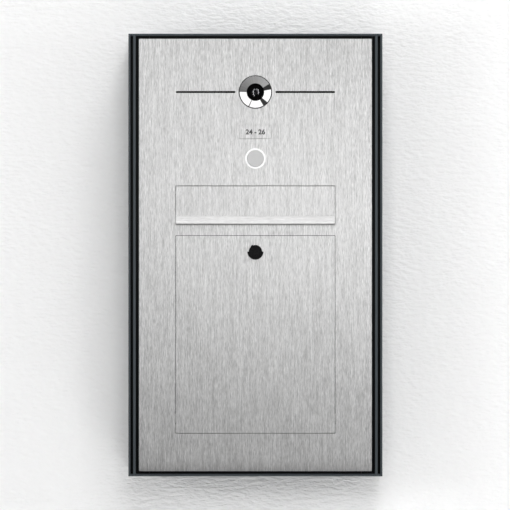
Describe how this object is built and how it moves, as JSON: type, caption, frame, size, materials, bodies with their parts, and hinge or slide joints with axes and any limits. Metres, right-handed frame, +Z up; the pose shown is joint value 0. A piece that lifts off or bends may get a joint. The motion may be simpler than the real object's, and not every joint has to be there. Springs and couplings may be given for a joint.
{
  "type": "door intercom panel",
  "caption": "Wall-mounted box with a brushed steel front: camera, speaking slots, lit bell button, name plate, letter flap and a lockable mail door.",
  "frame": {"origin": "centre of the rear face, on the wall, at the middle of the four wall screw holes", "axes": "+X to the right as seen by a visitor, +Y from the front into the wall, +Z up along the box's height"},
  "size_m": [0.381, 0.1143, 0.664],
  "materials": {
    "anthracite_coat": "fine-textured anthracite powder coat on aluminium",
    "brushed_steel": "stainless steel with a vertical brushed grain",
    "sheet_steel": "plain mill-finished stainless sheet",
    "zinc_plated_steel": "bright zinc plate",
    "bright_steel": "drawn stainless rod",
    "polished_chrome": "mirror-polished chrome",
    "black_metal": "satin black plated zinc casting",
    "lock_brass": "machined brass",
    "black_plastic": "moulded black plastic",
    "black_mesh": "black acoustic mesh",
    "soft_rubber": "black foam rubber",
    "lens_glass": "coated optical glass",
    "circuit_board": "green solder mask",
    "terminal_plastic": "moulded green plastic",
    "speaker_metal": "pressed steel",
    "speaker_paper": "pressed paper",
    "satin_aluminium": "fine satin anodised aluminium",
    "light_diffuser": "white light-spreading acrylic, lit from behind"
  },
  "bodies": {
    "housing": {"back_panel": "sheet_steel", "bell_board": "circuit_board", "bell_housing": "black_plastic", "bell_light_ring": "light_diffuser", "bell_spring": "zinc_plated_steel", "bell_switch": "black_plastic", "board_screws": "zinc_plated_steel", "bottom_cap": "anthracite_coat", "bottom_rail": "anthracite_coat", "cable_grommet": "soft_rubber", "camera_bezel": "polished_chrome", "camera_board": "circuit_board", "camera_lens": "lens_glass", "camera_nut": "zinc_plated_steel", "camera_shroud": "black_plastic", "divider_shelf": "sheet_steel", "door_hinge_brackets": "sheet_steel", "door_hinge_rod": "bright_steel", "door_seal": "soft_rubber", "door_surround": "sheet_steel", "flap_bumpers": "soft_rubber", "flap_hinge_brackets": "sheet_steel", "flap_hinge_rod": "bright_steel", "flap_stops": "sheet_steel", "flat_head_screws": "zinc_plated_steel", "front_plate": "brushed_steel", "intercom_housing": "black_plastic", "letter_guide": "sheet_steel", "loudspeaker_basket": "speaker_metal", "loudspeaker_cone": "speaker_paper", "mail_floor": "sheet_steel", "main_board": "circuit_board", "microphone": "speaker_metal", "microphone_boot": "soft_rubber", "name_plate": "brushed_steel", "name_plate_holder": "sheet_steel", "plate_hooks": "sheet_steel", "plate_seal": "soft_rubber", "plate_spacers": "zinc_plated_steel", "plate_studs": "zinc_plated_steel", "shelf_rivets": "zinc_plated_steel", "side_profile_left": "anthracite_coat", "side_profile_right": "anthracite_coat", "slot_meshes": "black_mesh", "stud_nuts": "zinc_plated_steel", "terminal_block": "terminal_plastic", "top_cap": "anthracite_coat", "top_rail": "anthracite_coat"},
    "flap": {"letter_flap": "brushed_steel"},
    "door": {"door_panel": "brushed_steel", "door_hinge_bushes": "black_plastic", "lock_barrel": "black_metal", "lock_nut": "zinc_plated_steel", "cover_rivet": "black_metal"},
    "lock": {"lock_plug": "lock_brass", "lock_cam": "zinc_plated_steel", "cam_screw": "zinc_plated_steel"},
    "keyhole_cover": {"keyhole_cover": "black_metal"},
    "bell_button": {"bell_cap": "satin_aluminium"}
  },
  "joints": [
    {"name": "flap_hinge", "type": "hinge", "parent": "housing", "child": "flap", "pos_m": [0, -0.106, 0.09212], "axis": [-1, 0, 0], "range_deg": [0, 80]},
    {"name": "door_hinge", "type": "hinge", "parent": "housing", "child": "door", "pos_m": [0, -0.1055, -0.25269], "axis": [1, 0, 0], "range_deg": [0, 95]},
    {"name": "lock_turn", "type": "hinge", "parent": "door", "child": "lock", "pos_m": [0, -0.1, 0.005], "axis": [0, -1, 0], "range_deg": [0, 90]},
    {"name": "keyhole_cover_swing", "type": "hinge", "parent": "door", "child": "keyhole_cover", "pos_m": [0, -0.11335, 0.0117], "axis": [0, -1, 0], "range_deg": [-110, 110]},
    {"name": "bell_press", "type": "slide", "parent": "housing", "child": "bell_button", "axis": [0, 1, 0], "range_m": [0, 0.0015], "stiffness_N_per_m": 1500, "springref_m": -0.0005, "deforming": ["bell_spring"]}
  ]
}
